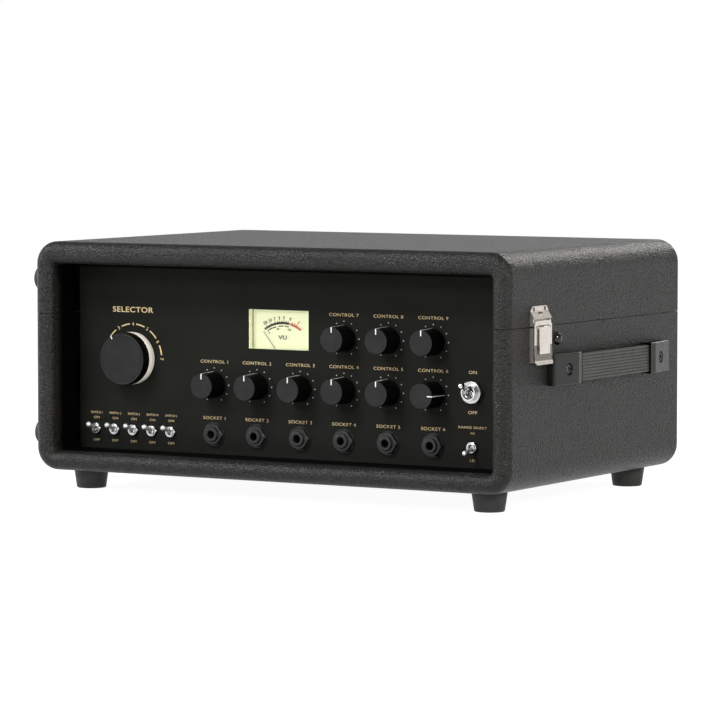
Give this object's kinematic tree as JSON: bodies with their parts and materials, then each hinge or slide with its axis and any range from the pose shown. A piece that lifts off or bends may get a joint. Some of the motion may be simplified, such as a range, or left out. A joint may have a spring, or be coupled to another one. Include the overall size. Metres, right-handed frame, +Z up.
{
  "type": "tape echo unit",
  "caption": "Tape echo unit in a vinyl-covered case with a hinged latched lid, a recessed black panel with selector, knobs, meter, jacks and toggles, and a side strap handle.",
  "frame": {"origin": "middle of the whole footprint, at the plane the feet stand on", "axes": "+X to the right as seen from the front, +Y from the control panel to the hinges, +Z up"},
  "size_m": [0.4364, 0.286, 0.1912],
  "materials": {
    "case_vinyl": "black grained vinyl glued over wood",
    "rubber": "matte",
    "panel_black": "fine matte black",
    "sheet_steel": "plain zinc-plated",
    "deck_alu": "satin",
    "knob_black": "matte",
    "cream": "matte",
    "chrome": "polished",
    "nickel": "nickel plated, slightly warm",
    "black_plastic": "satin",
    "pot_metal": "satin",
    "dial_cream": "matte print",
    "lens": "clear",
    "needle": "matte",
    "handle_grey": "satin",
    "black_steel": "glossy black",
    "tape_brown": "smooth",
    "head_metal": "polished face",
    "clear_cover": "clear acrylic",
    "motor_grey": "satin",
    "steel": "turned",
    "core_iron": "lacquered",
    "board_green": "solder-masked"
  },
  "bodies": {
    "case": {"case_base": "case_vinyl", "front_panel": "panel_black", "rear_panel": "panel_black", "chassis": "sheet_steel", "deck_plate": "deck_alu", "rubber_feet": "rubber", "handle_strap": "handle_grey", "handle_caps": "black_plastic", "side_screws": "black_steel", "latch_catches": "nickel", "hinge_base_leaves": "nickel", "switch_bodies": "chrome", "switch_nuts": "chrome", "jack_sockets": "black_plastic", "jack_nuts": "black_plastic", "potentiometers": "pot_metal", "mode_switch": "pot_metal", "meter_case": "black_plastic", "meter_dial": "dial_cream", "meter_lens": "lens", "tape_tray": "black_plastic", "tape_cover": "clear_cover", "tape_loop": "tape_brown", "tape_heads": "head_metal", "head_bridge": "deck_alu", "capstan_motor": "motor_grey", "reverb_tank": "sheet_steel", "transformer": "core_iron", "circuit_board": "board_green", "mains_inlet": "black_plastic"},
    "lid": {"case_lid": "case_vinyl", "lid_side_feet": "rubber", "latch_bodies": "nickel", "hinge_lid_leaves": "nickel"},
    "knob_lower_1": {"knob_lower_1": "knob_black"},
    "knob_lower_2": {"knob_lower_2": "knob_black"},
    "knob_lower_3": {"knob_lower_3": "knob_black"},
    "knob_lower_4": {"knob_lower_4": "knob_black"},
    "knob_lower_5": {"knob_lower_5": "knob_black"},
    "knob_lower_6": {"knob_lower_6": "knob_black"},
    "knob_upper_1": {"knob_upper_1": "knob_black"},
    "knob_upper_2": {"knob_upper_2": "knob_black"},
    "knob_upper_3": {"knob_upper_3": "knob_black"},
    "mode_selector": {"mode_knob": "knob_black", "mode_ring": "cream"},
    "toggle_1": {"toggle_lever_1": "chrome"},
    "toggle_2": {"toggle_lever_2": "chrome"},
    "toggle_3": {"toggle_lever_3": "chrome"},
    "toggle_4": {"toggle_lever_4": "chrome"},
    "toggle_5": {"toggle_lever_5": "chrome"},
    "toggle_6": {"toggle_lever_6": "chrome"},
    "power_switch": {"power_lever": "chrome"},
    "latch_lever_right": {"latch_lever_right": "nickel"},
    "latch_claw_right": {"latch_claw_right": "nickel"},
    "latch_lever_left": {"latch_lever_left": "nickel"},
    "latch_claw_left": {"latch_claw_left": "nickel"},
    "meter_needle": {"meter_needle": "needle"},
    "capstan": {"capstan_flywheel": "steel"},
    "pinch_arm": {"pinch_arm": "steel"},
    "pinch_roller": {"pinch_roller": "rubber"}
  },
  "joints": [
    {"name": "lid_hinge", "type": "hinge", "parent": "case", "child": "lid", "pos_m": [0.00085, 0.14, 0.1357], "axis": [-1, 0, 0], "range_deg": [0, 100]},
    {"name": "knob_lower_1_turn", "type": "hinge", "parent": "case", "child": "knob_lower_1", "pos_m": [-0.06749, -0.113, 0.083], "axis": [0, 1, 0], "range_deg": [-150, 150]},
    {"name": "knob_lower_2_turn", "type": "hinge", "parent": "case", "child": "knob_lower_2", "pos_m": [-0.02919, -0.113, 0.083], "axis": [0, 1, 0], "range_deg": [-150, 150]},
    {"name": "knob_lower_3_turn", "type": "hinge", "parent": "case", "child": "knob_lower_3", "pos_m": [0.00911, -0.113, 0.083], "axis": [0, 1, 0], "range_deg": [-150, 150]},
    {"name": "knob_lower_4_turn", "type": "hinge", "parent": "case", "child": "knob_lower_4", "pos_m": [0.04741, -0.113, 0.083], "axis": [0, 1, 0], "range_deg": [-150, 150]},
    {"name": "knob_lower_5_turn", "type": "hinge", "parent": "case", "child": "knob_lower_5", "pos_m": [0.08571, -0.113, 0.083], "axis": [0, 1, 0], "range_deg": [-150, 150]},
    {"name": "knob_lower_6_turn", "type": "hinge", "parent": "case", "child": "knob_lower_6", "pos_m": [0.12401, -0.113, 0.083], "axis": [0, 1, 0], "range_deg": [-240, 60]},
    {"name": "knob_upper_1_turn", "type": "hinge", "parent": "case", "child": "knob_upper_1", "pos_m": [0.04741, -0.113, 0.12205], "axis": [0, 1, 0], "range_deg": [-150, 150]},
    {"name": "knob_upper_2_turn", "type": "hinge", "parent": "case", "child": "knob_upper_2", "pos_m": [0.08571, -0.113, 0.12205], "axis": [0, 1, 0], "range_deg": [-150, 150]},
    {"name": "knob_upper_3_turn", "type": "hinge", "parent": "case", "child": "knob_upper_3", "pos_m": [0.12401, -0.113, 0.12205], "axis": [0, 1, 0], "range_deg": [-150, 150]},
    {"name": "mode_selector_turn", "type": "hinge", "parent": "case", "child": "mode_selector", "pos_m": [-0.14155, -0.113, 0.101], "axis": [0, 1, 0], "range_deg": [-60, 120]},
    {"name": "toggle_1_flip", "type": "hinge", "parent": "case", "child": "toggle_1", "pos_m": [-0.17555, -0.1023, 0.0453], "axis": [1, 0, 0], "range_deg": [0, 33.4]},
    {"name": "toggle_2_flip", "type": "hinge", "parent": "case", "child": "toggle_2", "pos_m": [-0.15835, -0.1023, 0.0453], "axis": [1, 0, 0], "range_deg": [0, 33.4]},
    {"name": "toggle_3_flip", "type": "hinge", "parent": "case", "child": "toggle_3", "pos_m": [-0.14115, -0.1023, 0.0453], "axis": [1, 0, 0], "range_deg": [0, 33.4]},
    {"name": "toggle_4_flip", "type": "hinge", "parent": "case", "child": "toggle_4", "pos_m": [-0.12395, -0.1023, 0.0453], "axis": [1, 0, 0], "range_deg": [0, 33.4]},
    {"name": "toggle_5_flip", "type": "hinge", "parent": "case", "child": "toggle_5", "pos_m": [-0.10675, -0.1023, 0.0453], "axis": [1, 0, 0], "range_deg": [0, 33.4]},
    {"name": "toggle_6_flip", "type": "hinge", "parent": "case", "child": "toggle_6", "pos_m": [0.15745, -0.1023, 0.0453], "axis": [1, 0, 0], "range_deg": [-33.4, 0]},
    {"name": "power_switch_flip", "type": "hinge", "parent": "case", "child": "power_switch", "pos_m": [0.15745, -0.0999, 0.086], "axis": [1, 0, 0], "range_deg": [0, 32]},
    {"name": "latch_lever_right_swing", "type": "hinge", "parent": "lid", "child": "latch_lever_right", "pos_m": [0.21065, -0.0963, 0.1395], "axis": [0, -1, 0], "range_deg": [0, 100]},
    {"name": "latch_claw_right_swing", "type": "hinge", "parent": "latch_lever_right", "child": "latch_claw_right", "pos_m": [0.21295, -0.0963, 0.1355], "axis": [0, -1, 0], "range_deg": [0, 25]},
    {"name": "latch_lever_left_swing", "type": "hinge", "parent": "lid", "child": "latch_lever_left", "pos_m": [-0.20895, -0.0963, 0.1395], "axis": [0, 1, 0], "range_deg": [0, 100]},
    {"name": "latch_claw_left_swing", "type": "hinge", "parent": "latch_lever_left", "child": "latch_claw_left", "pos_m": [-0.21125, -0.0963, 0.1355], "axis": [0, 1, 0], "range_deg": [0, 25]},
    {"name": "meter_needle_swing", "type": "hinge", "parent": "case", "child": "meter_needle", "pos_m": [-0.01005, -0.098, 0.1041], "axis": [0, 1, 0], "range_deg": [0, 76], "stiffness_Nm_per_rad": 0.00005},
    {"name": "capstan_turn", "type": "hinge", "parent": "case", "child": "capstan", "pos_m": [0.10485, -0.03755, 0.125], "axis": [0, 0, 1], "continuous": true},
    {"name": "pinch_arm_swing", "type": "hinge", "parent": "case", "child": "pinch_arm", "pos_m": [0.13885, -0.05045, 0.13], "axis": [0, 0, 1], "range_deg": [0, 12]},
    {"name": "pinch_roller_turn", "type": "hinge", "parent": "pinch_arm", "child": "pinch_roller", "pos_m": [0.10485, -0.05045, 0.13], "axis": [0, 0, 1], "continuous": true}
  ],
  "couplings": [
    {"joint": "pinch_roller_turn", "follows": "capstan_turn", "ratio": -0.33333}
  ]
}
